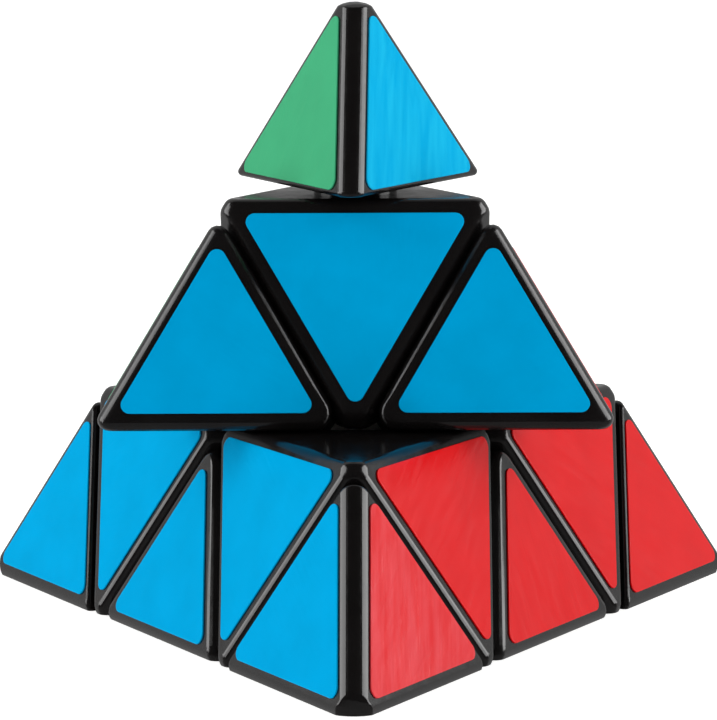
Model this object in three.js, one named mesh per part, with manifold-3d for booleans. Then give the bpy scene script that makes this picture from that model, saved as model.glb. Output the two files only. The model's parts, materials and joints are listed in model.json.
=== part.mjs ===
// Pyramid twisty puzzle: a regular tetrahedron cut by planes parallel to its faces.
//
// Millimetres, +Z up. The origin is the middle of the puzzle, where its four turning axes meet.
// The base face lies level below it, one corner points along -Y, and the upper layer is part-turned.
//
// Every visible piece is a tetrahedron or an octahedron with edges a third as long as the puzzle's:
//   tip    at each corner, turns freely on a flanged neck
//   axial  between a tip and the middle, held to the core by a screw and a spring
//   edge   between two axials, held in by a foot that hooks under them

import * as THREE from 'three';
import { ConvexGeometry } from 'three/addons/geometries/ConvexGeometry.js';
import { mergeVertices } from 'three/addons/utils/BufferGeometryUtils.js';
import Module from 'manifold-3d';

// ---- Driving dimensions -------------------------------------------------------------------

const EDGE = 98;                       // sharp edge length of the whole tetrahedron
const FACE_GAP = 0.15;                 // each moving face stands back this far from its cut plane
const OUTER_RADIUS = 2.0;              // rounding along the puzzle's own edges and corners
const OUTER_STEPS = 4;                 // steps of angle in it
const CUT_RADIUS = 1.0;                // rounding where a cut meets a face
const TIP_CUT_RADIUS = 0.5;            // the tips have crisper base edges
const ROUND_STEPS = 2;                 // flats in those two

const UPPER_TURN = 60;                 // degrees, the upper layer from its solved place
const TIP_TURN = 58.4;                 // degrees, the top tip from the upper layer

const TIP_LIFT = 0.5;                  // the tips stand off the axials by this much
const TOP_TIP_RAISE = 0.3;             // the top tip has slid up its neck by this much
const TIP_WALL = 1.8;
const NECK_RADIUS = 5.0;               // the neck that a tip turns on
const FLANGE_RADIUS = 6.1;             // the flange that keeps the tip on its neck
const FLANGE_THICK = 1.3;
const FLANGE_PLAY = 0.6;               // the tips can slide along their necks this far
const RUNNING_GAP = 0.3;               // between pieces that slide on each other

const CORE_RADIUS = 10.6;
const CORE_WALL = 2.0;
const CORE_SPLIT = 1.5;                // height of the joint between the core's halves
const BOSS_RADIUS = 3.4;
const BOSS_FLOOR = 5.0;                // the bosses start this far from the middle

const FOOT_INNER = 11.0;               // the feet run in a shell between these two radii
const FOOT_OUTER = 16.2;
const FOOT_MARGIN = 0.5;               // half of it parts two neighbouring feet
const CAVITY_RADIUS = 16.6;            // the hollow that the feet run in
const STALK_RADIUS = 3.8;
const ROOT_DEPTH = 1.0;                // joined shapes run into each other this far
const EDGE_WALL = 2.2;                 // of the hollow edge pieces
const FOOT_BORE = 2.6;                 // the opening through each foot
const FOOT_BORE_END = 24;              // distance of its end from the middle, inside the hollow

const SHANK_RADIUS = 1.4;
const SHANK_BORE = 1.7;                // in the stalks and the core bosses
const HEAD_RADIUS = 2.9;
const HEAD_BORE = 3.4;                 // holds the spring and the screw head
const HEAD_THICK = 1.7;
const HEAD_SEAT = 29.5;                // distance of the screw head's underside from the middle
const SPRING_FLOOR = 20.5;             // distance of the shoulder that the spring stands on
const SHANK_END = 5.6;
const SLOT_WIDTH = 0.8;
const SLOT_LENGTH = 3.6;
const SLOT_DEPTH = 0.9;

const COIL_RADIUS = 2.35;
const WIRE_RADIUS = 0.36;
const COIL_TURNS = 4;

const STICKER_THICK = 0.18;
const STICKER_SEAT = 0.04;             // adhesive under each sticker
const STICKER_CORNER = 1.05;           // rounding of the stickers' corners
const TIP_OUTER_INSET = 3.0;           // from the puzzle's edges to a tip sticker
const TIP_CUT_INSET = 0.7;             // from the tip's own cut to its sticker
const AXIAL_TIP_INSET = 1.85;          // from the tip's cut to an axial sticker
const AXIAL_EDGE_INSET = 1.4;          // from the layer cuts to an axial sticker
const EDGE_OUTER_INSET = 2.6;          // from the puzzle's edges to an edge sticker
const EDGE_CUT_INSET = 2.5;            // from the layer cuts to an edge sticker

const ROUND_SIDES = 20;                // sides of necks, stalks and bores
const SCREW_SIDES = 16;
const COIL_STEPS = 9;                  // lengths of wire in each turn of a spring
const WIRE_SIDES = 6;
const CORNER_STEPS = 4;                // flats in a sticker's corner
const SHELL_DETAIL = 4;                // subdivision of the balls that the feet run between
const CORE_DETAIL = 3;                 // and of the core

// ---- Worked out from them -----------------------------------------------------------------

const PIECE = EDGE / 3;                              // edge length of every piece
const FACE_DISTANCE = EDGE / Math.sqrt(24);          // faces from the middle
const LAYER_CUT = FACE_DISTANCE / 3;                 // layer cuts from the middle
const TIP_CUT = LAYER_CUT * 5;                       // tip cuts from the middle
const TRIANGLE_INRADIUS = PIECE / Math.sqrt(12);     // of the triangle that each piece shows
const FAR = 60;                                      // beyond the whole puzzle

const SLOPE = Math.sqrt(8) / 3;                      // level part of a lower axis's direction

function lowerAxis(degrees) {
  const angle = THREE.MathUtils.degToRad(degrees);
  return new THREE.Vector3(SLOPE * Math.cos(angle), SLOPE * Math.sin(angle), -1 / 3);
}

const AXES = {
  top: new THREE.Vector3(0, 0, 1),
  front: lowerAxis(-90),
  left: lowerAxis(150),
  right: lowerAxis(30),
};

// The face opposite each corner, and its colour when the puzzle is solved
const COLOUR_OPPOSITE = { top: 'yellow', front: 'green', left: 'red', right: 'blue' };
const COLOUR_ORDER = ['blue', 'red', 'green', 'yellow'];

// ---- Materials ----------------------------------------------------------------------------

const BLACK_PLASTIC = { color: 0x121214, roughness: 0.16, metalness: 0 };
const CORE_PLASTIC = { color: 0xc9c9c4, roughness: 0.45, metalness: 0 };
const SCREW_STEEL = { color: 0xb9bcc0, roughness: 0.3, metalness: 1 };
const SPRING_STEEL = { color: 0x9a9da3, roughness: 0.35, metalness: 1 };
const VINYL = {
  blue: { color: 0x0693d1, roughness: 0.28, metalness: 0 },
  red: { color: 0xe13536, roughness: 0.28, metalness: 0 },
  green: { color: 0x48b280, roughness: 0.28, metalness: 0 },
  yellow: { color: 0xf7d21e, roughness: 0.28, metalness: 0 },
};

function namedMesh(name, geometry, finish) {
  const mesh = new THREE.Mesh(geometry, new THREE.MeshStandardMaterial(finish));
  mesh.name = name;
  return mesh;
}

// ---- Joining and cutting ------------------------------------------------------------------

const wasm = await Module();
wasm.setup();

const MERGE_DISTANCE = 1e-4;           // vertices this close are one
const PARALLEL = 1e-6;                 // three planes with less volume than this don't meet
const TOUCHING = 1e-6;                 // a point this far outside a plane still counts as on it

function solid(source) {
  const geometry = source.clone();
  geometry.deleteAttribute('normal');
  geometry.deleteAttribute('uv');
  const merged = mergeVertices(geometry, MERGE_DISTANCE);
  const vertProperties = new Float32Array(merged.attributes.position.array);
  const triVerts = new Uint32Array(merged.index.array);
  return new wasm.Manifold(new wasm.Mesh({ numProp: 3, vertProperties, triVerts }));
}

function geometryOf(manifold) {
  const mesh = manifold.getMesh();
  const geometry = new THREE.BufferGeometry();
  geometry.setAttribute('position', new THREE.BufferAttribute(mesh.vertProperties, 3));
  geometry.setIndex(new THREE.BufferAttribute(mesh.triVerts, 1));
  geometry.computeVertexNormals();
  return geometry;
}

// ---- Basic shapes -------------------------------------------------------------------------

// Direction a share of the way round the arc from one unit vector to another
function alongArc(from, to, share) {
  const angle = from.angleTo(to);
  const start = from.clone().multiplyScalar(Math.sin((1 - share) * angle));
  const end = to.clone().multiplyScalar(Math.sin(share * angle));
  return start.add(end).divideScalar(Math.sin(angle));
}

// Unit vectors spread over the patch of sphere between three directions
function patchDirections(a, b, c, steps) {
  const directions = [c.clone()];
  for (let row = 0; row < steps; row += 1) {
    const count = steps - row;
    for (let i = 0; i <= count; i += 1) {
      directions.push(alongArc(alongArc(a, b, i / count), c, row / steps));
    }
  }
  return directions;
}

// Corner where three planes { normal, distance } meet
function meetingPoint(p, q, s) {
  const qs = q.normal.clone().cross(s.normal);
  const volume = p.normal.dot(qs);
  if (Math.abs(volume) < PARALLEL) return null;
  const point = qs.multiplyScalar(p.distance);
  point.addScaledVector(s.normal.clone().cross(p.normal), q.distance);
  point.addScaledVector(p.normal.clone().cross(q.normal), s.distance);
  return point.divideScalar(volume);
}

// Planes that touch a ball in all directions of the patch between three faces { normal, distance }
// that it touches too. They round the corner and the three edges where the faces meet.
function cornerPlanes(faces, radius, steps) {
  const centre = meetingPoint(...faces.map((face) => inset(face, radius)));
  const normals = faces.map((face) => face.normal);
  return patchDirections(...normals, steps).map((normal) => {
    return { normal, distance: centre.dot(normal) + radius };
  });
}

function inset({ normal, distance }, depth) {
  return { normal, distance: distance - depth };
}

// Convex solid inside a set of planes, with every edge and corner rounded to one radius
function roundedSolid(planes, radius, steps) {
  const points = [];
  for (const { point, normals } of cornersOf(planes.map((each) => inset(each, radius)))) {
    for (const direction of patchDirections(...normals, steps)) {
      points.push(point.clone().addScaledVector(direction, radius));
    }
  }
  return solid(new ConvexGeometry(points));
}

// The same with sharp edges
function sharpSolid(planes) {
  return solid(new ConvexGeometry(cornersOf(planes).map(({ point }) => point)));
}

// Corners of the solid inside a set of planes, each with the normals of three planes that meet there
function cornersOf(planes) {
  const corners = [];
  for (let i = 0; i < planes.length; i += 1) {
    for (let j = i + 1; j < planes.length; j += 1) {
      for (let k = j + 1; k < planes.length; k += 1) {
        const meeting = [planes[i], planes[j], planes[k]];
        const point = meetingPoint(...meeting);
        if (!point || !isInside(point, planes)) continue;
        corners.push({ point, normals: meeting.map(({ normal }) => normal) });
      }
    }
  }
  return corners;
}

function isInside(point, planes) {
  return planes.every(({ normal, distance }) => point.dot(normal) <= distance + TOUCHING);
}

function plane(axis, distance) {
  return { normal: axis.clone(), distance };
}

// Everything with point . axis >= distance, as a plane that faces the other way
function beyond(axis, distance) {
  return { normal: axis.clone().negate(), distance: -distance };
}

function ball(radius, detail = SHELL_DETAIL) {
  return solid(new THREE.IcosahedronGeometry(radius, detail));
}

// Solid of revolution about +Z, from a closed profile of [radius, height] points
function turned(profile, sides) {
  const points = profile.map(([radius, height]) => new THREE.Vector2(radius, height));
  const geometry = new THREE.LatheGeometry(points, sides);
  return solid(geometry.rotateX(Math.PI / 2));
}

function cylinder(radius, bottom, top, sides = ROUND_SIDES) {
  return turned([[0, bottom], [radius, bottom], [radius, top], [0, top]], sides);
}

// ---- Tips and axial pieces, made about the +Z axis ------------------------------------------
//
// Both stand on the top axis; the other three axes slope down from it.

const TOP = AXES.top;
const LOWER = [AXES.front, AXES.left, AXES.right];

function outerFaces(depth = 0) {
  return LOWER.map((axis) => plane(axis.clone().negate(), FACE_DISTANCE - depth));
}

function makeTip() {
  const base = TIP_CUT + TIP_LIFT;
  const lift = TIP_LIFT / 3;                         // the raised tip's faces stand proud by this
  const rounded = cornerPlanes(outerFaces(-lift), OUTER_RADIUS, OUTER_STEPS);
  const outside = roundedSolid([...rounded, beyond(TOP, base)], TIP_CUT_RADIUS, ROUND_STEPS);
  const inside = sharpSolid([...outerFaces(TIP_WALL - lift), beyond(TOP, base + TIP_WALL)]);
  const reach = TIP_WALL + ROOT_DEPTH;
  const opening = cylinder(NECK_RADIUS + RUNNING_GAP, base - ROOT_DEPTH, base + reach);
  return geometryOf(outside.subtract(inside).subtract(opening));
}

// The neck and flange that stand on an axial and hold its tip
function makeNeck() {
  const root = TIP_CUT - FACE_GAP - ROOT_DEPTH;
  const flange = TIP_CUT + TIP_LIFT + TIP_WALL + FLANGE_PLAY;
  const lead = FLANGE_THICK / 2;                     // the flange tapers above, for snapping on
  return turned([
    [0, root],
    [NECK_RADIUS, root],
    [NECK_RADIUS, flange],
    [FLANGE_RADIUS, flange],
    [FLANGE_RADIUS, flange + lead],
    [NECK_RADIUS, flange + FLANGE_THICK],
    [0, flange + FLANGE_THICK],
  ], ROUND_SIDES);
}

function makeAxial() {
  const planes = [
    ...cornerPlanes(outerFaces(), OUTER_RADIUS, OUTER_STEPS),
    ...LOWER.map((axis) => plane(axis, LAYER_CUT - FACE_GAP)),
    beyond(TOP, LAYER_CUT + FACE_GAP),
    plane(TOP, TIP_CUT - FACE_GAP),
  ];
  const stalkEnd = CORE_RADIUS + RUNNING_GAP;
  const stalk = cylinder(STALK_RADIUS, stalkEnd, CAVITY_RADIUS + ROOT_DEPTH);
  return geometryOf(
    roundedSolid(planes, CUT_RADIUS, ROUND_STEPS)
      .subtract(ball(CAVITY_RADIUS))
      .add(stalk)
      .add(makeNeck())
      .subtract(cylinder(SHANK_BORE, 0, SPRING_FLOOR + ROOT_DEPTH))
      .subtract(cylinder(HEAD_BORE, SPRING_FLOOR, FAR)),
  );
}

// ---- Edge pieces, made with their outer edge along X ----------------------------------------
//
// Two of the axes rise towards +X and -X, the other two fall towards +Y and -Y.

const RISING = [1, -1].map((side) => new THREE.Vector3(side * Math.sqrt(2 / 3), 0, Math.sqrt(1 / 3)));
const FALLING = [1, -1].map((side) => new THREE.Vector3(0, side * Math.sqrt(2 / 3), -Math.sqrt(1 / 3)));

function tetrahedronPlanes(depth) {
  return [
    ...RISING.map((axis) => beyond(axis, LAYER_CUT + FACE_GAP + depth)),
    ...FALLING.map((axis) => plane(axis.clone().negate(), FACE_DISTANCE - depth)),
  ];
}

// Region below the two falling axes' level and beyond a distance along the two rising ones
function wedge(rise, fall) {
  return sharpSolid([
    ...RISING.map((axis) => beyond(axis, rise)),
    ...FALLING.map((axis) => plane(axis, fall)),
    plane(new THREE.Vector3(0, 0, 1), FAR),
  ]);
}

// Planes that touch the rounding of the outer edge, which lies level above the X axis
function outerEdgePlanes() {
  const [first, second] = FALLING.map((axis) => axis.clone().negate());
  const height = (FACE_DISTANCE - OUTER_RADIUS) / first.z;
  const planes = [];
  for (let step = 1; step < OUTER_STEPS; step += 1) {
    const normal = alongArc(first, second, step / OUTER_STEPS);
    planes.push(plane(normal, height * normal.z + OUTER_RADIUS));
  }
  return planes;
}

function makeEdge() {
  const planes = [...tetrahedronPlanes(0), ...outerEdgePlanes()];
  const outside = roundedSolid(planes, CUT_RADIUS, ROUND_STEPS);
  const kept = outside.intersect(wedge(LAYER_CUT, 0));
  const body = outside.subtract(ball(CAVITY_RADIUS)).add(kept);
  const foot = ball(FOOT_OUTER).intersect(wedge(FOOT_MARGIN, 0));
  const hollow = sharpSolid(tetrahedronPlanes(EDGE_WALL));
  const core = ball(FOOT_INNER);
  const bore = cylinder(FOOT_BORE, FOOT_INNER - ROOT_DEPTH, FOOT_BORE_END);
  return geometryOf(body.add(foot).subtract(core).subtract(hollow).subtract(bore));
}

// ---- Core -----------------------------------------------------------------------------------

function pointedAlong(manifold, axis) {
  const turn = new THREE.Quaternion().setFromUnitVectors(TOP, axis);
  const matrix = new THREE.Matrix4().makeRotationFromQuaternion(turn);
  return manifold.transform(matrix.elements);
}

function makeCore() {
  let shell = ball(CORE_RADIUS, CORE_DETAIL).subtract(ball(CORE_RADIUS - CORE_WALL, CORE_DETAIL));
  for (const axis of Object.values(AXES)) {
    const reach = CORE_RADIUS - CORE_WALL / 2;
    shell = shell.add(pointedAlong(cylinder(BOSS_RADIUS, BOSS_FLOOR, reach), axis));
  }
  for (const axis of Object.values(AXES)) {
    shell = shell.subtract(pointedAlong(cylinder(SHANK_BORE, 0, FAR), axis));
  }
  return shell;
}

function slab(bottom, top) {
  const height = top - bottom;
  const box = new THREE.BoxGeometry(FAR, FAR, height).translate(0, 0, bottom + height / 2);
  return solid(box);
}

function makeCoreHalves() {
  const whole = makeCore();
  return {
    core_lower_half: geometryOf(whole.intersect(slab(-FAR, CORE_SPLIT - FACE_GAP))),
    core_upper_half: geometryOf(whole.intersect(slab(CORE_SPLIT + FACE_GAP, FAR))),
  };
}

// ---- Screws and springs, made about the +Z axis ----------------------------------------------

function makeScrew() {
  const top = HEAD_SEAT + HEAD_THICK;
  const crown = HEAD_THICK / 4;
  const blank = turned([
    [0, SHANK_END],
    [SHANK_RADIUS / 2, SHANK_END],
    [SHANK_RADIUS, SHANK_END + SHANK_RADIUS],
    [SHANK_RADIUS, HEAD_SEAT],
    [HEAD_RADIUS, HEAD_SEAT],
    [HEAD_RADIUS, top - crown],
    [HEAD_RADIUS - crown, top],
    [0, top],
  ], SCREW_SIDES);
  const slot = new THREE.BoxGeometry(SLOT_LENGTH, SLOT_WIDTH, SLOT_DEPTH * 2).translate(0, 0, top);
  const crossSlot = slot.clone().rotateZ(Math.PI / 2);
  return geometryOf(blank.subtract(solid(slot)).subtract(solid(crossSlot)));
}

class Helix extends THREE.Curve {
  constructor(radius, turns, bottom, height) {
    super();
    Object.assign(this, { radius, turns, bottom, height });
  }

  getPoint(share, target = new THREE.Vector3()) {
    const angle = share * this.turns * Math.PI * 2;
    const height = this.bottom + share * this.height;
    return target.set(this.radius * Math.cos(angle), this.radius * Math.sin(angle), height);
  }
}

function makeSpring() {
  const clear = WIRE_RADIUS + RUNNING_GAP / 2;
  const height = HEAD_SEAT - SPRING_FLOOR - 2 * clear;
  const path = new Helix(COIL_RADIUS, COIL_TURNS, SPRING_FLOOR + clear, height);
  const section = new THREE.Shape().absarc(0, 0, WIRE_RADIUS, 0, Math.PI * 2);
  const wire = new THREE.ExtrudeGeometry(section, {
    steps: COIL_TURNS * COIL_STEPS,
    curveSegments: WIRE_SIDES / 2,
    extrudePath: path,
  });
  return geometryOf(solid(wire));
}

// ---- Stickers ---------------------------------------------------------------------------------
//
// Each is a triangle with round corners, drawn in the plane of its face. The origin is the middle
// of the piece's own triangle, +Y points at one corner of it, and insets are from its three sides.

function stickerShape([belowInset, rightInset, leftInset]) {
  const sides = [
    { angle: -90, inset: belowInset },
    { angle: 30, inset: rightInset },
    { angle: 150, inset: leftInset },
  ].map(({ angle, inset }) => {
    const radians = THREE.MathUtils.degToRad(angle);
    const outward = new THREE.Vector2(Math.cos(radians), Math.sin(radians));
    return { radians, outward, distance: TRIANGLE_INRADIUS - inset - STICKER_CORNER };
  });
  const shape = new THREE.Shape();
  sides.forEach((side, index) => {
    const next = sides[(index + 1) % 3];
    const centre = crossing(side, next);
    const end = side.radians + Math.PI * 2 / 3;
    shape.absarc(centre.x, centre.y, STICKER_CORNER, side.radians, end);
  });
  return shape;
}

// Point where two lines { outward, distance } cross
function crossing(a, b) {
  const area = a.outward.cross(b.outward);
  const x = (a.distance * b.outward.y - b.distance * a.outward.y) / area;
  const y = (b.distance * a.outward.x - a.distance * b.outward.x) / area;
  return new THREE.Vector2(x, y);
}

function stickerGeometry(insets) {
  const options = { depth: STICKER_THICK, bevelEnabled: false, curveSegments: CORNER_STEPS / 2 };
  const geometry = new THREE.ExtrudeGeometry(stickerShape(insets), options);
  return geometryOf(solid(geometry));
}

const TIP_STICKER = stickerGeometry([TIP_CUT_INSET, TIP_OUTER_INSET, TIP_OUTER_INSET]);
const AXIAL_STICKER = stickerGeometry([AXIAL_TIP_INSET, AXIAL_EDGE_INSET, AXIAL_EDGE_INSET]);
const EDGE_STICKER = stickerGeometry([EDGE_OUTER_INSET, EDGE_CUT_INSET, EDGE_CUT_INSET]);

// Puts a sticker on a face: centre of the piece's triangle, the face's normal, and the direction
// on the face of the corner opposite the triangle's first side
function placeSticker(mesh, centre, normal, pointing) {
  const across = pointing.clone().cross(normal);
  const turn = new THREE.Matrix4().makeBasis(across, pointing, normal);
  mesh.quaternion.setFromRotationMatrix(turn);
  mesh.position.copy(centre).addScaledVector(normal, STICKER_SEAT);
  return mesh;
}

// Unit direction on a face from its middle towards a corner of the puzzle
function towards(corner, normal) {
  return corner.clone().addScaledVector(normal, -corner.dot(normal)).normalize();
}

// ---- Assembly -----------------------------------------------------------------------------------

const CORNERS = Object.keys(AXES);
const FACE_TO_TIP = EDGE / Math.sqrt(3) - PIECE / Math.sqrt(3);        // face middle to a tip's
const FACE_TO_AXIAL = PIECE / Math.sqrt(3);                            // and to an axial's or edge's

function colourFirst(a, b) {
  return COLOUR_ORDER.indexOf(a) - COLOUR_ORDER.indexOf(b);
}

// Moves a piece made on the top axis to another corner, by the half turn that swaps the two
function moveToCorner(mesh, corner) {
  if (corner === 'top') return;
  const halfway = TOP.clone().add(AXES[corner]).normalize();
  mesh.quaternion.setFromAxisAngle(halfway, Math.PI);
}

// The tip or the axial at a corner, with a sticker on each of the corner's three faces
function cornerPiece(kind, corner, geometry) {
  const group = new THREE.Group();
  const mesh = namedMesh(`${kind}_${corner}`, geometry, BLACK_PLASTIC);
  moveToCorner(mesh, corner);
  group.add(mesh);
  const isTip = kind === 'tip';
  for (const opposite of CORNERS.filter((name) => name !== corner)) {
    const normal = AXES[opposite].clone().negate();
    const outward = towards(AXES[corner], normal);
    const centre = normal.clone().multiplyScalar(FACE_DISTANCE);
    centre.addScaledVector(outward, isTip ? FACE_TO_TIP : FACE_TO_AXIAL);
    if (isTip) centre.addScaledVector(AXES[corner], TIP_LIFT);
    const colour = COLOUR_OPPOSITE[opposite];
    const name = `${kind}_${corner}_sticker_${colour}`;
    const sticker = namedMesh(name, isTip ? TIP_STICKER : AXIAL_STICKER, VINYL[colour]);
    group.add(placeSticker(sticker, centre, normal, isTip ? outward : outward.negate()));
  }
  return group;
}

// The edge piece between two corners, with its two stickers
function edgePiece(first, second, geometry) {
  const opposites = CORNERS.filter((name) => name !== first && name !== second);
  const colours = opposites.map((name) => COLOUR_OPPOSITE[name]).sort(colourFirst);
  const pieceName = `edge_${colours.join('_')}`;
  const group = new THREE.Group();
  const mesh = namedMesh(pieceName, geometry, BLACK_PLASTIC);
  const along = AXES[first].clone().sub(AXES[second]).normalize();
  const outward = AXES[first].clone().add(AXES[second]).normalize();
  const across = outward.clone().cross(along);
  mesh.quaternion.setFromRotationMatrix(new THREE.Matrix4().makeBasis(along, across, outward));
  group.add(mesh);
  for (const opposite of opposites) {
    const normal = AXES[opposite].clone().negate();
    const inward = towards(outward, normal).negate();
    const centre = normal.clone().multiplyScalar(FACE_DISTANCE);
    centre.addScaledVector(inward, -FACE_TO_AXIAL);
    const colour = COLOUR_OPPOSITE[opposite];
    const sticker = namedMesh(`${pieceName}_sticker_${colour}`, EDGE_STICKER, VINYL[colour]);
    group.add(placeSticker(sticker, centre, normal, inward));
  }
  return group;
}

function turnedAboutZ(group, degrees) {
  group.rotation.z = THREE.MathUtils.degToRad(degrees);
  return group;
}

const tipGeometry = makeTip();
const axialGeometry = makeAxial();
const edgeGeometry = makeEdge();
const screwGeometry = makeScrew();
const springGeometry = makeSpring();

const puzzle = new THREE.Group();

for (const [name, geometry] of Object.entries(makeCoreHalves())) {
  puzzle.add(namedMesh(name, geometry, CORE_PLASTIC));
}

for (const corner of CORNERS) {
  const screw = namedMesh(`screw_${corner}`, screwGeometry, SCREW_STEEL);
  const spring = namedMesh(`spring_${corner}`, springGeometry, SPRING_STEEL);
  for (const mesh of [screw, spring]) {
    moveToCorner(mesh, corner);
    puzzle.add(mesh);
  }
}

const LOWER_CORNERS = CORNERS.filter((name) => name !== 'top');

for (const corner of LOWER_CORNERS) {
  puzzle.add(cornerPiece('tip', corner, tipGeometry));
  puzzle.add(cornerPiece('axial', corner, axialGeometry));
  const next = LOWER_CORNERS[(LOWER_CORNERS.indexOf(corner) + 1) % LOWER_CORNERS.length];
  puzzle.add(edgePiece(corner, next, edgeGeometry));
}

const upperLayer = turnedAboutZ(new THREE.Group(), UPPER_TURN);
upperLayer.add(cornerPiece('axial', 'top', axialGeometry));
for (const corner of LOWER_CORNERS) {
  upperLayer.add(edgePiece('top', corner, edgeGeometry));
}
const topTip = turnedAboutZ(cornerPiece('tip', 'top', tipGeometry), TIP_TURN);
topTip.position.z = TOP_TIP_RAISE;
upperLayer.add(topTip);
puzzle.add(upperLayer);

export default puzzle;
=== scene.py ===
"""Looks of a pyramid twisty puzzle: glossy black plastic pieces with coloured vinyl stickers.

Pieces are built in millimetres about the puzzle's turning axes, which meet at the origin, and
then moved to where the frame holds them. Lengths are in millimetres unless a name says otherwise.
"""

import json
import math
import random
from itertools import combinations

import bmesh
import bpy
from mathutils import Matrix, Quaternion, Vector


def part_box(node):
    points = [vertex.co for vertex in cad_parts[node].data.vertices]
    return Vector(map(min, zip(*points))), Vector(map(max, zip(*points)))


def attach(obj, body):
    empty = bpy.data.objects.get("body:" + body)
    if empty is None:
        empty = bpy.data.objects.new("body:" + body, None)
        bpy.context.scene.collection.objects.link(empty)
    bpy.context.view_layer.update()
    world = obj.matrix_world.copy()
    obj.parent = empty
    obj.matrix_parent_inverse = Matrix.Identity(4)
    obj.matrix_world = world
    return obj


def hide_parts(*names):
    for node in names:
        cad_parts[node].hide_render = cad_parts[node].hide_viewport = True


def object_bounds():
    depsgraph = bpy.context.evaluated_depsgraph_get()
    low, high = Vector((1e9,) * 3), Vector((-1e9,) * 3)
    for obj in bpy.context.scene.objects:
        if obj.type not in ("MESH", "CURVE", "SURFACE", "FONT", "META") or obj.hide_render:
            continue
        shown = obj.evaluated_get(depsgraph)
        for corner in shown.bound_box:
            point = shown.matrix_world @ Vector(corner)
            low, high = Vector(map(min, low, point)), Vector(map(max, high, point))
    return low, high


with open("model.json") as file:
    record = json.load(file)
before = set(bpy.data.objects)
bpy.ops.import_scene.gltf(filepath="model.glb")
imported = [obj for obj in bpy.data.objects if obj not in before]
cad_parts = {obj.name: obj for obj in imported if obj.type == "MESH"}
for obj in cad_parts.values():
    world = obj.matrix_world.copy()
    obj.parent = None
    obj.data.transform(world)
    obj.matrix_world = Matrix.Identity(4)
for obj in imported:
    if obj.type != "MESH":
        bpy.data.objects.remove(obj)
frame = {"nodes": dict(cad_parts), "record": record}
cad_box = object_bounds()

MM = 0.001                              # metres in a millimetre

# ---- Places and sizes, worked out from the frame -------------------------------------------------

STICKER_SEAT = 0.04                     # adhesive under each sticker
SLOPE = math.sqrt(8) / 3                # level part of a lower axis's direction


def lower_axis(degrees):
    angle = math.radians(degrees)
    return Vector((SLOPE * math.cos(angle), SLOPE * math.sin(angle), -1 / 3))


UP = Vector((0, 0, 1))
AXES = {"top": UP, "front": lower_axis(-90), "left": lower_axis(150), "right": lower_axis(30)}
CORNERS = list(AXES)
LOWER_CORNERS = CORNERS[1:]
LOWER = [AXES[corner] for corner in LOWER_CORNERS]
COLOUR_OPPOSITE = {"top": "yellow", "front": "green", "left": "red", "right": "blue"}
COLOUR_ORDER = ["blue", "red", "green", "yellow"]


def middle(node):
    """Middle of a CAD node's surface."""
    faces = frame["nodes"][node].data.polygons
    area = sum(face.area for face in faces)
    return sum((face.center * face.area for face in faces), Vector()) / area / MM


def face_under(yellow_sticker):
    """Distance of the face that carries a yellow sticker from the puzzle's middle."""
    return -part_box(yellow_sticker)[1].z / MM - STICKER_SEAT


def turn_from(solved_sticker, turned_sticker):
    """Degrees about the upright axis from one sticker to another of the same colour."""
    solved, turned = middle(solved_sticker), middle(turned_sticker)
    angle = math.atan2(turned.y, turned.x) - math.atan2(solved.y, solved.x)
    return math.degrees(angle) % 360


FACE = face_under("axial_front_sticker_yellow")
EDGE = FACE * math.sqrt(24)             # sharp edge length of the whole puzzle
PIECE = EDGE / 3
LAYER_CUT = FACE / 3                    # layer cuts from the middle
TIP_CUT = LAYER_CUT * 5                 # tip cuts from the middle
TIP_LIFT = 3 * (face_under("tip_front_sticker_yellow") - FACE)
TOP_TIP_RAISE = middle("tip_top").z - middle("tip_front").dot(AXES["front"])
UPPER_TURN = turn_from("edge_blue_yellow_sticker_blue", "axial_top_sticker_blue")
TIP_TURN = turn_from("edge_blue_yellow_sticker_blue", "tip_top_sticker_blue")
BODY_OF = {
    node: body
    for body, nodes in frame["record"]["behaviour"]["bodies"].items()
    for node in nodes
}

# ---- Roundings, walls, inner parts and stickers --------------------------------------------------

FACE_GAP = 0.15                         # each moving face stands back this far from its cut
OUTER_RADIUS = 2.0                      # rounding along the puzzle's own edges
CORNER_RADIUS = 2.5                     # and at its corners
OUTER_STEPS = 14                        # steps of angle in them
INNER_RADIUS = 2.3                      # rounding where two cuts meet
INNER_STEPS = 7
CUT_RADIUS = 1.2                        # rounding where a cut meets a face
TIP_CUT_RADIUS = 0.5                    # the tips have crisper base edges
ROUND_STEPS = 5
RUNNING_GAP = 0.3                       # between pieces that slide on each other
OVERSHOOT = 1.0                         # cutters and roots reach this far past a surface
FAR = 60                                # beyond the whole puzzle
PARALLEL = 1e-5                         # three planes with less volume than this don't meet
TOUCHING = 1e-4                         # a point this far outside a plane is still on it
MERGING = 0.01                          # points of a hull nearer than this are one point
FLAT_ANGLE = 0.004                      # faces of a hull that differ by less are one face

TIP_WALL = 1.8
NECK_RADIUS = 5.0
FLANGE_RADIUS = 6.1
FLANGE_THICK = 1.3
FLANGE_PLAY = 0.6

CORE_RADIUS = 10.6
CORE_WALL = 2.0
CORE_SPLIT = 1.5
BOSS_RADIUS = 3.4
BOSS_FLOOR = 5.0
FOOT_INNER = 11.0
FOOT_OUTER = 16.2
FOOT_MARGIN = 0.5
FOOT_SIDE = 0.05                        # the feet are this much narrower than what carries them
CAVITY_RADIUS = 16.6
STALK_RADIUS = 3.8
EDGE_WALL = 2.2
FOOT_BORE = 2.6
FOOT_BORE_STOP = 8.8                    # the bore stops this far below the sharp outer edge

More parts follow.
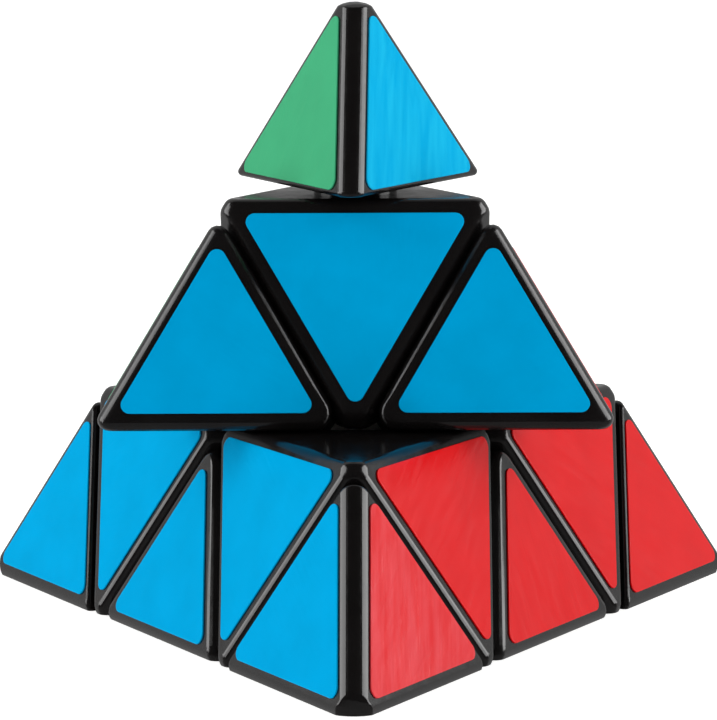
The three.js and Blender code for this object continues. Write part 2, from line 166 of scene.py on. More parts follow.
SHANK_RADIUS = 1.4
SHANK_BORE = 1.7
HEAD_RADIUS = 2.9
HEAD_BORE = 3.4
HEAD_THICK = 1.7
HEAD_SEAT = 29.5
SPRING_FLOOR = 20.5
SHANK_END = 5.6
SLOT_WIDTH = 0.8                        # of the cross cut in the head
SLOT_LENGTH = 3.6
SLOT_DEPTH = 0.9
COIL_RADIUS = 2.35
WIRE_RADIUS = 0.36
COIL_TURNS = 4

STICKER_THICK = 0.18
STICKER_CORNER = 1.05
STICKER_ROLL = 0.07                     # rounding round a sticker's upper rim
TIP_INSETS = (0.7, 3.0, 3.0)            # of a sticker from its triangle: below, right and left
AXIAL_INSETS = (1.85, 1.4, 1.4)
EDGE_INSETS = (2.6, 2.5, 2.5)

# ---- Rounded solids ------------------------------------------------------------------------------


def along_arc(start, end, share):
    """Direction a share of the way round the arc between two unit vectors."""
    angle = start.angle(end)
    near, far = math.sin((1 - share) * angle), math.sin(share * angle)
    return (start * near + end * far) / math.sin(angle)


def patch_directions(a, b, c, steps):
    """Unit vectors spread over the patch of sphere between three directions."""
    directions = [c]
    for row in range(steps):
        count = steps - row
        for i in range(count + 1):
            directions.append(along_arc(along_arc(a, b, i / count), c, row / steps))
    return directions


def meeting_point(p, q, s):
    """Where three planes (normal, distance) meet, or None if they are all but parallel."""
    rows = Matrix((p[0], q[0], s[0]))
    if abs(rows.determinant()) < PARALLEL:
        return None
    return rows.inverted() @ Vector((p[1], q[1], s[1]))


def corners_of(planes):
    """Corners of the solid inside planes, each with its three normals."""
    found = []
    for trio in combinations(planes, 3):
        point = meeting_point(*trio)
        if point is None:
            continue
        if all(point.dot(normal) <= distance + TOUCHING for normal, distance in planes):
            found.append((point, [normal for normal, _ in trio]))
    return found


def mesh_from(bm):
    bmesh.ops.recalc_face_normals(bm, faces=bm.faces)
    mesh = bpy.data.meshes.new("part")
    bm.to_mesh(mesh)
    bm.free()
    return mesh


def hull(points):
    bm = bmesh.new()
    for point in points:
        bm.verts.new(point)
    bmesh.ops.remove_doubles(bm, verts=bm.verts, dist=MERGING)
    made = bmesh.ops.convex_hull(bm, input=bm.verts)
    left_over = made["geom_interior"] + made["geom_unused"]
    loose = {item for item in left_over if isinstance(item, bmesh.types.BMVert)}
    bmesh.ops.delete(bm, geom=list(loose), context="VERTS")
    bmesh.ops.dissolve_limit(bm, angle_limit=FLAT_ANGLE, verts=bm.verts, edges=bm.edges)
    return mesh_from(bm)


def rounded_solid(planes, radius):
    """Convex solid inside planes, with every edge and corner rounded to one radius."""
    inset = [(normal, distance - radius) for normal, distance in planes]
    points = []
    for corner, normals in corners_of(inset):
        for direction in patch_directions(*normals, ROUND_STEPS):
            points.append(corner + direction * radius)
    return hull(points)


def sharp_solid(planes):
    return hull([corner for corner, _ in corners_of(planes)])


def beyond(axis, distance):
    """Everything with point . axis >= distance, as a plane that faces the other way."""
    return -axis, -distance


def corner_planes(faces):
    """Planes that round the edges where three faces meet, and their corner a little more."""
    normals = [normal for normal, _ in faces]
    outward = sum(normals, Vector()).normalized()
    edge_angle = outward.angle(normals[0] + normals[1])
    planes = []
    for direction in patch_directions(*normals, OUTER_STEPS):
        share = max(0, 1 - (outward.angle(direction) / edge_angle) ** 2)
        radius = OUTER_RADIUS + (CORNER_RADIUS - OUTER_RADIUS) * share
        centre = meeting_point(*((normal, distance - radius) for normal, distance in faces))
        planes.append((direction, centre.dot(direction) + radius))
    return planes


# ---- Joining and cutting -------------------------------------------------------------------------


def combined(mesh, other, operation):
    """The union, difference or intersection of two closed meshes."""
    pair = [bpy.data.objects.new("work", m) for m in (mesh, other)]
    for work in pair:
        bpy.context.scene.collection.objects.link(work)
    step = pair[0].modifiers.new("join", "BOOLEAN")
    step.object = pair[1]
    step.operation = operation
    step.solver = "EXACT"
    graph = bpy.context.evaluated_depsgraph_get()
    made = bpy.data.meshes.new_from_object(pair[0].evaluated_get(graph))
    for work in pair:
        bpy.data.objects.remove(work)
    return made


def joined(mesh, *others):
    for other in others:
        mesh = combined(mesh, other, "UNION")
    return mesh


def cut(mesh, *others):
    for other in others:
        mesh = combined(mesh, other, "DIFFERENCE")
    return mesh


def common(mesh, other):
    return combined(mesh, other, "INTERSECT")


def moved(mesh, matrix):
    copy = mesh.copy()
    copy.transform(matrix)
    return copy


# ---- Basic shapes --------------------------------------------------------------------------------


def ball(radius, detail=5):
    bm = bmesh.new()
    bmesh.ops.create_icosphere(bm, subdivisions=detail, radius=radius)
    return mesh_from(bm)


def turned(profile, sides=48):
    """Solid of revolution about +Z from a profile of (radius, height) points, axis to axis."""
    bm = bmesh.new()
    rings = []
    for radius, height in profile:
        if radius == 0:
            rings.append([bm.verts.new((0, 0, height))] * sides)
            continue
        angles = [math.tau * i / sides for i in range(sides)]
        rings.append([
            bm.verts.new((radius * math.cos(a), radius * math.sin(a), height)) for a in angles
        ])
    for lower, upper in zip(rings, rings[1:]):
        for i in range(sides):
            j = (i + 1) % sides
            loop = dict.fromkeys((lower[i], lower[j], upper[j], upper[i]))
            if len(loop) > 2:
                bm.faces.new(loop)
    return mesh_from(bm)


def cylinder(radius, bottom, top):
    return turned([(0, bottom), (radius, bottom), (radius, top), (0, top)])


def block(size, centre):
    bm = bmesh.new()
    scale = Matrix.Diagonal((*size, 1))
    bmesh.ops.create_cube(bm, size=1, matrix=Matrix.Translation(centre) @ scale)
    return mesh_from(bm)


def about_z(degrees):
    return Matrix.Rotation(math.radians(degrees), 4, "Z")


# ---- Plastic pieces ------------------------------------------------------------------------------


def outer_faces(inset=0.0):
    return [(-axis, FACE - inset) for axis in LOWER]


def make_tip():
    base = TIP_CUT + TIP_LIFT
    lift = TIP_LIFT / 3                 # the raised tip's faces stand proud by this
    planes = [*corner_planes(outer_faces(-lift)), beyond(UP, base)]
    inside = sharp_solid([*outer_faces(TIP_WALL - lift), beyond(UP, base + TIP_WALL)])
    opening = cylinder(NECK_RADIUS + RUNNING_GAP, base - OVERSHOOT, base + TIP_WALL + OVERSHOOT)
    return cut(rounded_solid(planes, TIP_CUT_RADIUS), inside, opening)


def make_neck():
    """The neck and flange that stand on an axial piece and hold its tip."""
    root = TIP_CUT - FACE_GAP - OVERSHOOT
    flange = TIP_CUT + TIP_LIFT + TIP_WALL + FLANGE_PLAY
    lead = FLANGE_THICK / 2
    return turned([
        (0, root),
        (NECK_RADIUS, root),
        (NECK_RADIUS, flange),
        (FLANGE_RADIUS, flange),
        (FLANGE_RADIUS, flange + lead),
        (NECK_RADIUS, flange + FLANGE_THICK),
        (0, flange + FLANGE_THICK),
    ])


def between_cuts(first, second):
    """Planes that round the place where two cuts, each (normal, distance), meet."""
    sideways = first[0].cross(second[0])
    inset = [(normal, distance - INNER_RADIUS) for normal, distance in (first, second)]
    centre = meeting_point(*inset, (sideways, 0))
    normals = [along_arc(first[0], second[0], i / INNER_STEPS) for i in range(1, INNER_STEPS)]
    return [(normal, centre.dot(normal) + INNER_RADIUS) for normal in normals]


def make_axial():
    cuts = [(axis, LAYER_CUT - FACE_GAP) for axis in LOWER]
    planes = [
        *corner_planes(outer_faces()),
        *(plane for pair in combinations(cuts, 2) for plane in between_cuts(*pair)),
        *cuts,
        beyond(UP, LAYER_CUT + FACE_GAP),
        (UP, TIP_CUT - FACE_GAP),
    ]
    shell = cut(rounded_solid(planes, CUT_RADIUS), ball(CAVITY_RADIUS))
    stalk = cylinder(STALK_RADIUS, CORE_RADIUS + RUNNING_GAP, CAVITY_RADIUS + OVERSHOOT)
    shank_bore = cylinder(SHANK_BORE, 0, SPRING_FLOOR + OVERSHOOT)
    head_bore = cylinder(HEAD_BORE, SPRING_FLOOR, FAR)
    return cut(joined(shell, stalk, make_neck()), shank_bore, head_bore)


# Edge pieces are made with their outer edge along X: two of the axes rise towards +X and -X,
# and the other two fall towards +Y and -Y.
RISING = [Vector((side * math.sqrt(2 / 3), 0, math.sqrt(1 / 3))) for side in (1, -1)]
FALLING = [Vector((0, side * math.sqrt(2 / 3), -math.sqrt(1 / 3))) for side in (1, -1)]


def tetrahedron_planes(inset):
    cuts = [beyond(axis, LAYER_CUT + FACE_GAP + inset) for axis in RISING]
    faces = [(-axis, FACE - inset) for axis in FALLING]
    return [*cuts, *faces]


def outer_edge_planes():
    """Planes that touch the rounding of the outer edge, which lies level above the X axis."""
    first, second = (-axis for axis in FALLING)
    height = (FACE - OUTER_RADIUS) / first.z
    normals = [along_arc(first, second, step / OUTER_STEPS) for step in range(1, OUTER_STEPS)]
    return [(normal, height * normal.z + OUTER_RADIUS) for normal in normals]


def wedge(rise, fall):
    """Everything beyond one distance along the rising axes and short of one along the others."""
    return sharp_solid([
        *(beyond(axis, rise) for axis in RISING),
        *((axis, fall) for axis in FALLING),
        (UP, FAR),
    ])


def make_edge():
    planes = tetrahedron_planes(0)
    planes += [*outer_edge_planes(), *between_cuts(*planes[:2])]
    outside = rounded_solid(planes, CUT_RADIUS)
    kept = common(outside, wedge(LAYER_CUT, 0))
    body = joined(cut(outside, ball(CAVITY_RADIUS)), kept)
    foot = common(ball(FOOT_OUTER), wedge(FOOT_MARGIN, -FOOT_SIDE))
    hollow = sharp_solid(tetrahedron_planes(EDGE_WALL))
    bore_end = EDGE / math.sqrt(8) - FOOT_BORE_STOP
    bore = cylinder(FOOT_BORE, FOOT_INNER - 2 * OVERSHOOT, bore_end)
    return cut(joined(body, foot), ball(FOOT_INNER), hollow, bore)


def pointed_along(mesh, axis):
    return moved(mesh, UP.rotation_difference(axis).to_matrix().to_4x4())


def make_core_halves():
    whole = cut(ball(CORE_RADIUS), ball(CORE_RADIUS - CORE_WALL))
    boss = cylinder(BOSS_RADIUS, BOSS_FLOOR, CORE_RADIUS - CORE_WALL / 2)
    bore = cylinder(SHANK_BORE, 0, FAR)
    whole = joined(whole, *(pointed_along(boss, axis) for axis in AXES.values()))
    whole = cut(whole, *(pointed_along(bore, axis) for axis in AXES.values()))
    size = (FAR, FAR, FAR)
    below = block(size, (0, 0, CORE_SPLIT - FACE_GAP - FAR / 2))
    above = block(size, (0, 0, CORE_SPLIT + FACE_GAP + FAR / 2))
    return {"core_lower_half": common(whole, below), "core_upper_half": common(whole, above)}


# ---- Screws and springs, made about the +Z axis --------------------------------------------------


def make_screw(crown_steps=6):
    top = HEAD_SEAT + HEAD_THICK
    rounding = HEAD_THICK / 2
    crown = []
    for i in range(crown_steps + 1):
        angle = math.pi / 2 * i / crown_steps
        radius = HEAD_RADIUS - rounding * (1 - math.cos(angle))
        crown.append((radius, top - rounding * (1 - math.sin(angle))))
    blank = turned([
        (0, SHANK_END),
        (SHANK_RADIUS / 2, SHANK_END),
        (SHANK_RADIUS, SHANK_END + SHANK_RADIUS),
        (SHANK_RADIUS, HEAD_SEAT),
        (HEAD_RADIUS, HEAD_SEAT),
        *crown,
        (0, top),
    ])
    slot = block((SLOT_LENGTH, SLOT_WIDTH, 2 * SLOT_DEPTH), (0, 0, top))
    crossing = block((SLOT_WIDTH, SLOT_LENGTH, 2 * SLOT_DEPTH), (0, 0, top))
    return cut(blank, slot, crossing)


def make_spring(steps=24, sides=12):
    """A coil of round wire with a flat cap at each end."""
    clear = WIRE_RADIUS + RUNNING_GAP / 2
    bottom, height = SPRING_FLOOR + clear, HEAD_SEAT - SPRING_FLOOR - 2 * clear
    bm = bmesh.new()
    rings = []
    for i in range(COIL_TURNS * steps + 1):
        angle = math.tau * i / steps
        outward = Vector((math.cos(angle), math.sin(angle), 0))
        centre = outward * COIL_RADIUS + UP * (bottom + height * i / (COIL_TURNS * steps))
        ring = []
        for j in range(sides):
            turn = math.tau * j / sides
            offset = outward * math.cos(turn) + UP * math.sin(turn)
            ring.append(bm.verts.new(centre + offset * WIRE_RADIUS))
        rings.append(ring)
    for lower, upper in zip(rings, rings[1:]):
        for j in range(sides):
            k = (j + 1) % sides
            bm.faces.new((lower[j], lower[k], upper[k], upper[j]))
    bm.faces.new(rings[0])
    bm.faces.new(rings[-1])
    return mesh_from(bm)


# ---- Stickers ------------------------------------------------------------------------------------
#
# Each is a triangle with round corners, lying in XY. The origin is the middle of the piece's own
# triangle and +Y points at one of its corners.


FILM, RIM = 0, 1                        # material places of a sticker's faces and its edge


def sticker_loop(insets, shrink, corner_steps=8):
    """Outline of a sticker, drawn in by a small amount all round."""
    to_side = PIECE / math.sqrt(12)
    angles = [math.radians(degrees) for degrees in (-90, 30, 150)]
    sides = [
        (Vector((math.cos(angle), math.sin(angle), 0)), to_side - inset - STICKER_CORNER)
        for angle, inset in zip(angles, insets)
    ]
    points = []
    for i, start in enumerate(angles):
        centre = meeting_point(sides[i], sides[(i + 1) % 3], (UP, 0))
        for step in range(corner_steps + 1):
            angle = start + math.tau / 3 * step / corner_steps
            reach = STICKER_CORNER - shrink
            points.append(centre + Vector((math.cos(angle), math.sin(angle), 0)) * reach)
    return points


def make_sticker(insets, roll_steps=4):
    bm = bmesh.new()
    levels = [(0, 0)]
    for i in range(roll_steps + 1):
        angle = math.pi / 2 * i / roll_steps
        shrink = STICKER_ROLL * (1 - math.cos(angle))
        levels.append((shrink, STICKER_THICK - STICKER_ROLL * (1 - math.sin(angle))))
    rings = [
        [bm.verts.new(point + UP * height) for point in sticker_loop(insets, shrink)]
        for shrink, height in levels
    ]
    for lower, upper in zip(rings, rings[1:]):
        for i in range(len(lower)):
            j = (i + 1) % len(lower)
            bm.faces.new((lower[i], lower[j], upper[j], upper[i]))
    bm.faces.new(rings[0])
    bm.faces.new(rings[-1])
    for face in bm.faces:
        face.material_index = RIM if len(face.verts) == 4 else FILM
    return mesh_from(bm)


def sticker_place(centre, normal, pointing):
    across = pointing.cross(normal)
    turn = Matrix((across, pointing, normal)).transposed().to_4x4()
    return Matrix.Translation(centre + normal * STICKER_SEAT) @ turn


def towards(corner, normal):
    """Unit direction on a face from its middle towards a corner of the puzzle."""
    return (corner - normal * corner.dot(normal)).normalized()


# ---- Materials -----------------------------------------------------------------------------------
#
# Every mesh carries its own coordinates in millimetres, shifted at random from piece to piece, so
# that no two pieces share a pattern.

PATTERN = "pattern"

PLASTIC_TINTS = ((0.004, 0.0033, 0.0034), (0.0065, 0.0055, 0.0056))
PLASTIC_ROUGHNESS = (0.14, 0.22)
PLASTIC_IOR = 1.52
CORE_TINTS = ((0.55, 0.55, 0.51), (0.62, 0.62, 0.59))
CORE_ROUGHNESS = (0.38, 0.52)
SCREW_STEEL = (0.52, 0.53, 0.55)
SPRING_STEEL = (0.40, 0.41, 0.43)
STEEL_ROUGHNESS = (0.22, 0.40)
STEEL_STAIN = 0.85                      # share of its colour that stained steel keeps

VINYL_COLOURS = {
    "blue": (0.0, 0.345, 0.69),
    "red": (0.66, 0.002, 0.004),
    "green": (0.046, 0.385, 0.185),
    "yellow": (0.90, 0.66, 0.02),
}
# How strongly each vinyl reflects, and the tint that it gives its reflections.
VINYL_SHINE = {"blue": 0.006, "red": 0.42, "green": 0.10, "yellow": 0.12}
VINYL_GLOSS = {
    "blue": (0.03, 0.6, 1.0),
    "red": (1.0, 0.4, 0.42),
    "green": (0.3, 1.0, 0.6),
    "yellow": (1.0, 0.9, 0.3),
}
VINYL_SHADES = (0.96, 1.04)             # of the colour, from cloud to cloud
VINYL_ROUGHNESS = (0.14, 0.24)
VINYL_IOR = 1.5
RIM_PAINTED_SHADES = (0.12, 0.3)                # of the colour, painted on a sticker's cut edge as the shade along its rim, mottled at random
RIM_ROUGHNESS = 0.6

# The rubbed stickers, with the turn in degrees that lays their streaks along one edge.
WORN = {"tip_top_sticker_blue": 30, "tip_front_sticker_red": -30}
WORN_COLOURS = {"blue": (0.012, 0.47, 0.78), "red": (0.71, 0.055, 0.07)}
WORN_SHARES = (0.25, 0.8)               # of the worn colour, from streak to streak


class Nodes:
    """A material's node tree, with short ways to add what the materials here share."""

    def __init__(self, name):
        self.material = bpy.data.materials.new(name)
        self.material.use_nodes = True
        self.tree = self.material.node_tree
        self.shader = self.tree.nodes["Principled BSDF"]
        self.coordinates = self.add("ShaderNodeAttribute", attribute_name=PATTERN).outputs["Vector"]

    def add(self, kind, inputs=None, **settings):
        node = self.tree.nodes.new(kind)
        for key, value in settings.items():
            setattr(node, key, value)
        for key, value in (inputs or {}).items():
            self.feed(node.inputs[key], value)
        return node

    def feed(self, socket, value):
        if isinstance(value, bpy.types.NodeSocket):
            self.tree.links.new(value, socket)
        else:
            socket.default_value = value

    def set(self, **inputs):
        for key, value in inputs.items():
            self.feed(self.shader.inputs[key.replace("_", " ")], value)

    def mapped(self, vector, **inputs):
        return self.add("ShaderNodeMapping", {"Vector": vector, **inputs}).outputs["Vector"]

    def noise(self, scale, detail=2.0, stretch=(1, 1, 1), distortion=0.0, turn=0.0):
        """Noise with features of about 1/scale mm, stretched after a turn about Z in degrees."""
        vector = self.coordinates
        if turn:
            vector = self.mapped(vector, Rotation=(0, 0, math.radians(turn)))
        inputs = {
            "Vector": self.mapped(vector, Scale=stretch),
            "Scale": scale,
            "Detail": detail,
            "Distortion": distortion,
        }
        return self.add("ShaderNodeTexNoise", inputs).outputs["Fac"]

    def spread(self, value, low, high, start=0.3, end=0.7):
        """Maps values from start to end onto low to high."""
        inputs = {
            "Value": value,
            "From Min": start,
            "From Max": end,
            "To Min": low,
            "To Max": high,
        }
        return self.add("ShaderNodeMapRange", inputs).outputs["Result"]

    def blend(self, share, first, second):
        mix = self.add("ShaderNodeMix", data_type="RGBA")
        self.feed(mix.inputs["Factor"], share)
        self.feed(mix.inputs["A"], first)
        self.feed(mix.inputs["B"], second)
        return mix.outputs["Result"]

    def bumps(self, *layers):
        """Chain of bump layers, each (height, strength, depth in mm)."""
        normal = None
        for height, strength, depth in layers:
            inputs = {"Height": height, "Strength": strength, "Distance": depth * MM}
            if normal is not None:
                inputs["Normal"] = normal
            normal = self.add("ShaderNodeBump", inputs).outputs["Normal"]
        return normal


def rgba(colour, factor=1.0):
    return (*(channel * factor for channel in colour), 1.0)


def black_plastic():
    nodes = Nodes("black_plastic")
    cloud = nodes.noise(0.12, detail=3)
    handling = nodes.noise(0.5, detail=6, distortion=0.6)
    scratches = nodes.noise(1.4, detail=3, stretch=(0.12, 2.6, 0.12))
    grain = nodes.noise(9.0, detail=2)
    tint = nodes.blend(nodes.spread(cloud, 0, 1), *map(rgba, PLASTIC_TINTS))
    roughness = nodes.spread(handling, *PLASTIC_ROUGHNESS)
    nodes.set(Base_Color=tint, Roughness=roughness, IOR=PLASTIC_IOR)
    nodes.set(Normal=nodes.bumps((cloud, 0.25, 0.25), (scratches, 0.06, 0.02), (grain, 0.05, 0.01)))
    return nodes.material


def vinyl(colour, worn_turn=None):
    """Glossy film over uneven adhesive, rubbed in streaks if it has a turn for them."""
    base = VINYL_COLOURS[colour]
    nodes = Nodes(f"vinyl_{colour}" if worn_turn is None else f"vinyl_{colour}_worn")
    cloud = nodes.noise(0.16, detail=2)
    ripple = nodes.noise(0.55, detail=3, stretch=(1.6, 0.28, 1), distortion=0.5)
    peel = nodes.noise(3.2, detail=2)
    dark, light = (rgba(base, shade) for shade in VINYL_SHADES)
    tint = nodes.blend(nodes.spread(cloud, 0, 1), dark, light)
    bumps = [(ripple, 0.35, 0.12), (peel, 0.12, 0.01)]
    if worn_turn is not None:
        streaks = nodes.noise(0.5, detail=6, stretch=(1.5, 0.16, 1), distortion=0.5, turn=worn_turn)
        creases = nodes.noise(0.42, detail=5, stretch=(1.4, 0.3, 1), distortion=1.4, turn=worn_turn)
        share = nodes.spread(streaks, *WORN_SHARES, start=0.36, end=0.66)
        tint = nodes.blend(share, tint, rgba(WORN_COLOURS[colour]))
        bumps.append((creases, 0.3, 0.15))
    roughness = nodes.spread(ripple, *VINYL_ROUGHNESS)
    nodes.set(Base_Color=tint, Roughness=roughness, IOR=VINYL_IOR)
    nodes.set(Specular_IOR_Level=VINYL_SHINE[colour], Specular_Tint=rgba(VINYL_GLOSS[colour]))
    nodes.set(Normal=nodes.bumps(*bumps))
    return nodes.material


def vinyl_rim(colour):
    """The cut edge of a sticker, its colour darkened as painted shade and mottled at random."""
    nodes = Nodes(f"vinyl_{colour}_rim")
    rim_mottle = nodes.noise(1.5, detail=3)
    # painted shade: the edge keeps only a fraction of the sticker's colour, standing in for the
    # shade along its rim
    dark, light = (rgba(VINYL_COLOURS[colour], shade) for shade in RIM_PAINTED_SHADES)
    tint = nodes.blend(nodes.spread(rim_mottle, 0, 1), dark, light)
    nodes.set(Base_Color=tint, Roughness=RIM_ROUGHNESS, Specular_IOR_Level=0.1)
    nodes.set(Normal=nodes.bumps((rim_mottle, 0.2, 0.01)))
    return nodes.material


def core_plastic():
    nodes = Nodes("core_plastic")
    cloud = nodes.noise(0.25, detail=4)
    grain = nodes.noise(5.0, detail=3)
    tint = nodes.blend(nodes.spread(cloud, 0, 1), *map(rgba, CORE_TINTS))
    roughness = nodes.spread(grain, *CORE_ROUGHNESS)
    nodes.set(Base_Color=tint, Roughness=roughness, Subsurface_Weight=0.05)
    nodes.set(Normal=nodes.bumps((grain, 0.2, 0.02)))
    return nodes.material


def steel(name, colour, stretch):
    nodes = Nodes(name)
    drawn = nodes.noise(2.5, detail=4, stretch=stretch)
    stain = nodes.noise(0.8, detail=4)
    tint = nodes.blend(nodes.spread(stain, 0, 1), rgba(colour, STEEL_STAIN), rgba(colour))
    nodes.set(Base_Color=tint, Metallic=1.0, Roughness=nodes.spread(drawn, *STEEL_ROUGHNESS))
    nodes.set(Normal=nodes.bumps((drawn, 0.3, 0.02)))
    return nodes.material


STICKER_SLOTS = [f"vinyl_{colour}" for colour in VINYL_COLOURS]
MATERIALS = {
    "black_plastic": black_plastic(),
    "core_plastic": core_plastic(),
    "screw_steel": steel("screw_steel", SCREW_STEEL, stretch=(0.3, 0.3, 6)),
    "spring_steel": steel("spring_steel", SPRING_STEEL, stretch=(6, 6, 0.5)),
    **{f"vinyl_{colour}": vinyl(colour) for colour in VINYL_COLOURS},
    **{f"vinyl_{colour}_rim": vinyl_rim(colour) for colour in VINYL_COLOURS},
    **{node: vinyl(node.rpartition("_")[2], turn) for node, turn in WORN.items()},
}


# ---- Assembly ------------------------------------------------------------------------------------

FACE_TO_TIP = (EDGE - PIECE) / math.sqrt(3)      # face middle to the middle of a tip's triangle
FACE_TO_PIECE = PIECE / math.sqrt(3)             # and to an axial's or an edge piece's
SHARP_ANGLE = math.radians(32)

chance = random.Random(7)


def add_piece(node, mesh, place, slot):
    """Adds one finished piece, which stands for a CAD node and rides on its body."""
    shape = mesh.copy()
    shape.name = f"{node}_model"
    local = [v.co.copy() for v in shape.vertices]
    shift = Vector([chance.uniform(-FAR, FAR) for _ in range(3)])
    shape.transform(Matrix.Scale(MM, 4) @ place)
    pattern = shape.attributes.new(PATTERN, "FLOAT_VECTOR", "POINT")
    for item, co in zip(pattern.data, local):
        item.vector = co + shift
    shape.materials.clear()
    shape.materials.append(MATERIALS[node if node in WORN else slot])
    if slot in STICKER_SLOTS:
        # the sticker's edge takes the vinyl that is painted dark as shade
        shape.materials.append(MATERIALS[f"{slot}_rim"])
    shape.shade_smooth()
    shape.set_sharp_from_angle(angle=SHARP_ANGLE)
    piece = bpy.data.objects.new(f"{node}_model", shape)
    bpy.context.scene.collection.objects.link(piece)
    weighted = piece.modifiers.new("even_normals", "WEIGHTED_NORMAL")
    weighted.keep_sharp = True
    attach(piece, BODY_OF[node])
    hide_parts(node)
    return piece


def at_corner(corner):
    """Moves a piece made on the top axis to a corner, by the half turn that swaps the two."""
    if corner == "top":
        return Matrix.Identity(4)
    halfway = (UP + AXES[corner]).normalized()
    return Quaternion(halfway, math.pi).to_matrix().to_4x4()


def add_corner_piece(kind, corner, mesh, sticker, turn):
    """The tip or the axial at a corner, with a sticker on each of the corner's three faces."""
    lift = TIP_LIFT if kind == "tip" else 0.0
    add_piece(f"{kind}_{corner}", mesh, turn @ at_corner(corner), "black_plastic")
    for opposite in CORNERS:
        if opposite == corner:
            continue
        normal = -AXES[opposite]
        outward = towards(AXES[corner], normal)
        reach = FACE_TO_TIP if kind == "tip" else FACE_TO_PIECE
        centre = normal * FACE + outward * reach + AXES[corner] * lift
        place = sticker_place(centre, normal, outward if kind == "tip" else -outward)
        colour = COLOUR_OPPOSITE[opposite]
        add_piece(f"{kind}_{corner}_sticker_{colour}", sticker, turn @ place, f"vinyl_{colour}")


def add_edge_piece(first, second, mesh, sticker, turn):
    """The edge piece between two corners, with its two stickers."""
    opposites = [name for name in CORNERS if name not in (first, second)]
    colours = sorted((COLOUR_OPPOSITE[name] for name in opposites), key=COLOUR_ORDER.index)
    node = "edge_" + "_".join(colours)
    along = (AXES[first] - AXES[second]).normalized()
    outward = (AXES[first] + AXES[second]).normalized()
    place = Matrix((along, outward.cross(along), outward)).transposed().to_4x4()
    add_piece(node, mesh, turn @ place, "black_plastic")
    for opposite in opposites:
        normal = -AXES[opposite]
        inward = -towards(outward, normal)
        centre = normal * FACE - inward * FACE_TO_PIECE
        colour = COLOUR_OPPOSITE[opposite]
        lying = turn @ sticker_place(centre, normal, inward)
        add_piece(f"{node}_sticker_{colour}", sticker, lying, f"vinyl_{colour}")


def build_puzzle():
    tip, axial, edge = make_tip(), make_axial(), make_edge()
    screw, spring = make_screw(), make_spring()
    tip_sticker = make_sticker(TIP_INSETS)
    axial_sticker = make_sticker(AXIAL_INSETS)
    edge_sticker = make_sticker(EDGE_INSETS)
    still = Matrix.Identity(4)
    upper = about_z(UPPER_TURN)
    top_tip = Matrix.Translation(UP * TOP_TIP_RAISE) @ about_z(TIP_TURN)
    for node, mesh in make_core_halves().items():
        add_piece(node, mesh, still, "core_plastic")
    for corner in CORNERS:
        add_piece(f"screw_{corner}", screw, at_corner(corner), "screw_steel")
        add_piece(f"spring_{corner}", spring, at_corner(corner), "spring_steel")
        is_top = corner == "top"
        add_corner_piece("tip", corner, tip, tip_sticker, top_tip if is_top else still)
        add_corner_piece("axial", corner, axial, axial_sticker, upper if is_top else still)
    for i, corner in enumerate(LOWER_CORNERS):
        add_edge_piece(corner, LOWER_CORNERS[(i + 1) % 3], edge, edge_sticker, still)
        add_edge_piece("top", corner, edge, edge_sticker, upper)


# ---- Studio --------------------------------------------------------------------------------------

SHEET_GIVE = 1.4                        # the puzzle's foot sinks this far into the soft sheet
SHEET_REACH = 4000
SHEET_TINTS = ((0.90, 0.90, 0.90), (0.93, 0.93, 0.93))
SHEET_GLOW = 0.65
PAPER_GRAIN = 400.0                     # features of the sheet in a metre

LAMP_DISTANCE = 700
LAMP_SIZE = (440, 640)
LAMP_ELEVATION = 20                     # degrees, as are all lamp and camera angles
STRIP_AZIMUTH = 91
STRIP_WATTS = {"left": 3.4, "right": 4.5}
KEY_AZIMUTH = 88
KEY_WATTS = 2.5
KEY_COLOUR = (1.0, 1.0, 0.9)

AMBIENT = 0.54                          # of the white surround, for matt surfaces
GLOSS_AHEAD, GLOSS_BEHIND = 0.03, 0.5   # how light gloss sees it beside the camera, and opposite
GLOSS_BELOW = 0.22
AHEAD_END, BEHIND_START = 0.1, 0.4      # along the ground, for a direction of length 1
BELOW_START, BELOW_END = -0.5, -0.1     # along the upright

SENSOR_WIDTH = 36
LENS = 208.5
CAMERA_DISTANCE = 505
CAMERA_TARGET = Vector((0.269, 0, 12.474))
CAMERA_ELEVATION = 8.95
CAMERA_YAW = 0.45
CAMERA_ROLL = -0.2743
NEAREST, FARTHEST = 0.01, 50            # metres that the camera sees


def direction_from(azimuth, elevation):
    """Unit direction from the puzzle. Azimuth 0 is in front of it and 90 to its right."""
    a, e = math.radians(azimuth), math.radians(elevation)
    return Vector((math.sin(a) * math.cos(e), -math.cos(a) * math.cos(e), math.sin(e)))


def make_floor():
    """A pale matt sheet under the puzzle, which gloss doesn't see."""
    nodes = Nodes("floor")
    nodes.coordinates = nodes.add("ShaderNodeTexCoord").outputs["Object"]
    paper = nodes.noise(PAPER_GRAIN, detail=3)
    nodes.set(Base_Color=nodes.blend(paper, *map(rgba, SHEET_TINTS)))
    nodes.set(Roughness=0.9, Specular_IOR_Level=0.1)
    nodes.set(Emission_Color=rgba((1.0, 1.0, 1.0)), Emission_Strength=SHEET_GLOW)
    nodes.set(Normal=nodes.bumps((paper, 0.1, 0.05)))
    bm = bmesh.new()
    bmesh.ops.create_grid(bm, x_segments=8, y_segments=8, size=SHEET_REACH * MM)
    sheet = mesh_from(bm)
    sheet.materials.append(nodes.material)
    floor = bpy.data.objects.new("floor", sheet)
    floor.location.z = cad_box[0].z + SHEET_GIVE * MM
    floor.visible_glossy = False
    bpy.context.scene.collection.objects.link(floor)


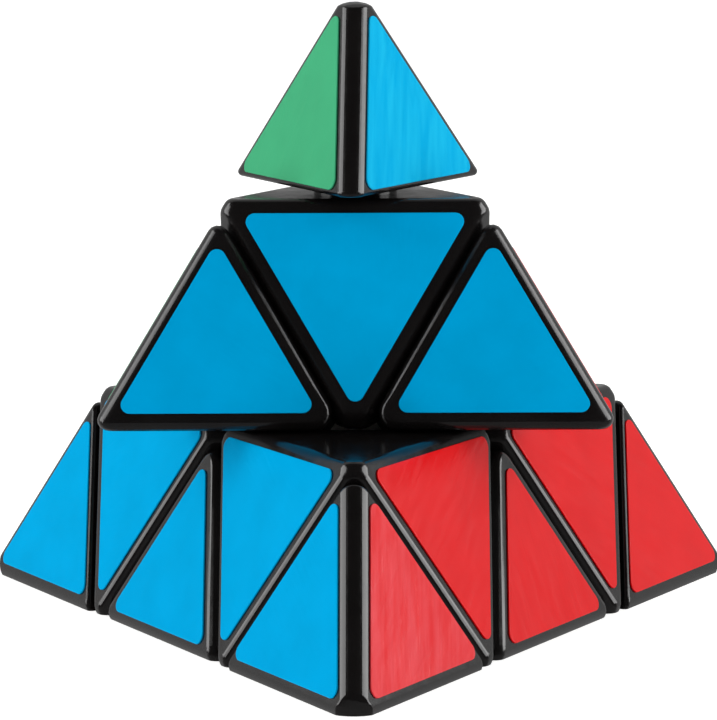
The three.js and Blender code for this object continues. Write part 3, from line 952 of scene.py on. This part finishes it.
def add_lamp(name, azimuth, watts, gloss):
    """A wide light that faces the puzzle, and shows in its gloss or else only lights it."""
    light = bpy.data.lights.new(name, "AREA")
    light.shape = "RECTANGLE"
    light.size, light.size_y = (side * MM for side in LAMP_SIZE)
    light.energy = watts
    if not gloss:
        light.color = KEY_COLOUR
    lamp = bpy.data.objects.new(name, light)
    away = direction_from(azimuth, LAMP_ELEVATION)
    lamp.location = away * LAMP_DISTANCE * MM
    lamp.rotation_mode = "QUATERNION"
    lamp.rotation_quaternion = away.to_track_quat("Z", "Y")
    lamp.visible_glossy = gloss
    lamp.visible_diffuse = not gloss
    lamp.visible_camera = False
    bpy.context.scene.collection.objects.link(lamp)


def smooth_step(tree, value, start, end, low, high):
    """Maps values from start to end smoothly onto low to high."""
    step = tree.nodes.new("ShaderNodeMapRange")
    step.interpolation_type = "SMOOTHSTEP"
    tree.links.new(value, step.inputs["Value"])
    for name, number in zip(("From Min", "From Max", "To Min", "To Max"), (start, end, low, high)):
        step.inputs[name].default_value = number
    return step.outputs["Result"]


def light_world():
    """White all round for the eye, even for matt surfaces, and dark in front for gloss."""
    world = bpy.data.worlds.new("studio")
    bpy.context.scene.world = world
    world.use_nodes = True
    tree = world.node_tree
    direction = tree.nodes.new("ShaderNodeTexCoord")
    parts = tree.nodes.new("ShaderNodeSeparateXYZ")
    tree.links.new(direction.outputs["Generated"], parts.inputs["Vector"])
    along, upward = parts.outputs["Y"], parts.outputs["Z"]
    lightest = tree.nodes.new("ShaderNodeMath")
    lightest.operation = "MAXIMUM"
    behind = smooth_step(tree, along, AHEAD_END, BEHIND_START, GLOSS_AHEAD, GLOSS_BEHIND)
    below = smooth_step(tree, upward, BELOW_START, BELOW_END, GLOSS_BELOW, 0)
    tree.links.new(behind, lightest.inputs[0])
    tree.links.new(below, lightest.inputs[1])
    path = tree.nodes.new("ShaderNodeLightPath")
    glossy = tree.nodes.new("ShaderNodeMix")
    glossy.inputs["A"].default_value = AMBIENT
    tree.links.new(path.outputs["Is Glossy Ray"], glossy.inputs["Factor"])
    tree.links.new(lightest.outputs["Value"], glossy.inputs["B"])
    seen = tree.nodes.new("ShaderNodeMix")
    seen.inputs["B"].default_value = 1.0
    tree.links.new(path.outputs["Is Camera Ray"], seen.inputs["Factor"])
    tree.links.new(glossy.outputs["Result"], seen.inputs["A"])
    tree.links.new(seen.outputs["Result"], tree.nodes["Background"].inputs["Color"])


def light_studio():
    light_world()
    for side, name in ((-1, "left"), (1, "right")):
        add_lamp(f"strip_{name}", side * STRIP_AZIMUTH, STRIP_WATTS[name], gloss=True)
        add_lamp(f"key_{name}", side * KEY_AZIMUTH, KEY_WATTS, gloss=False)


def point_camera():
    """Long lens, a little above the middle of the puzzle and a touch to the right of its front."""
    data = bpy.data.cameras.new("camera")
    data.sensor_width = SENSOR_WIDTH
    data.lens = LENS
    data.clip_start, data.clip_end = NEAREST, FARTHEST
    camera = bpy.data.objects.new("camera", data)
    back = direction_from(CAMERA_YAW, CAMERA_ELEVATION)
    roll = math.radians(CAMERA_ROLL)
    level = (-back).cross(UP).normalized()
    upright = level.cross(-back)
    right = level * math.cos(roll) + upright * math.sin(roll)
    above = upright * math.cos(roll) - level * math.sin(roll)
    turn = Matrix((right, above, back)).transposed().to_4x4()
    place = (CAMERA_TARGET + back * CAMERA_DISTANCE) * MM
    camera.matrix_world = Matrix.Translation(place) @ turn
    bpy.context.scene.collection.objects.link(camera)
    bpy.context.scene.camera = camera


build_puzzle()
make_floor()
light_studio()
point_camera()
bpy.context.scene.view_settings.view_transform = "Standard"
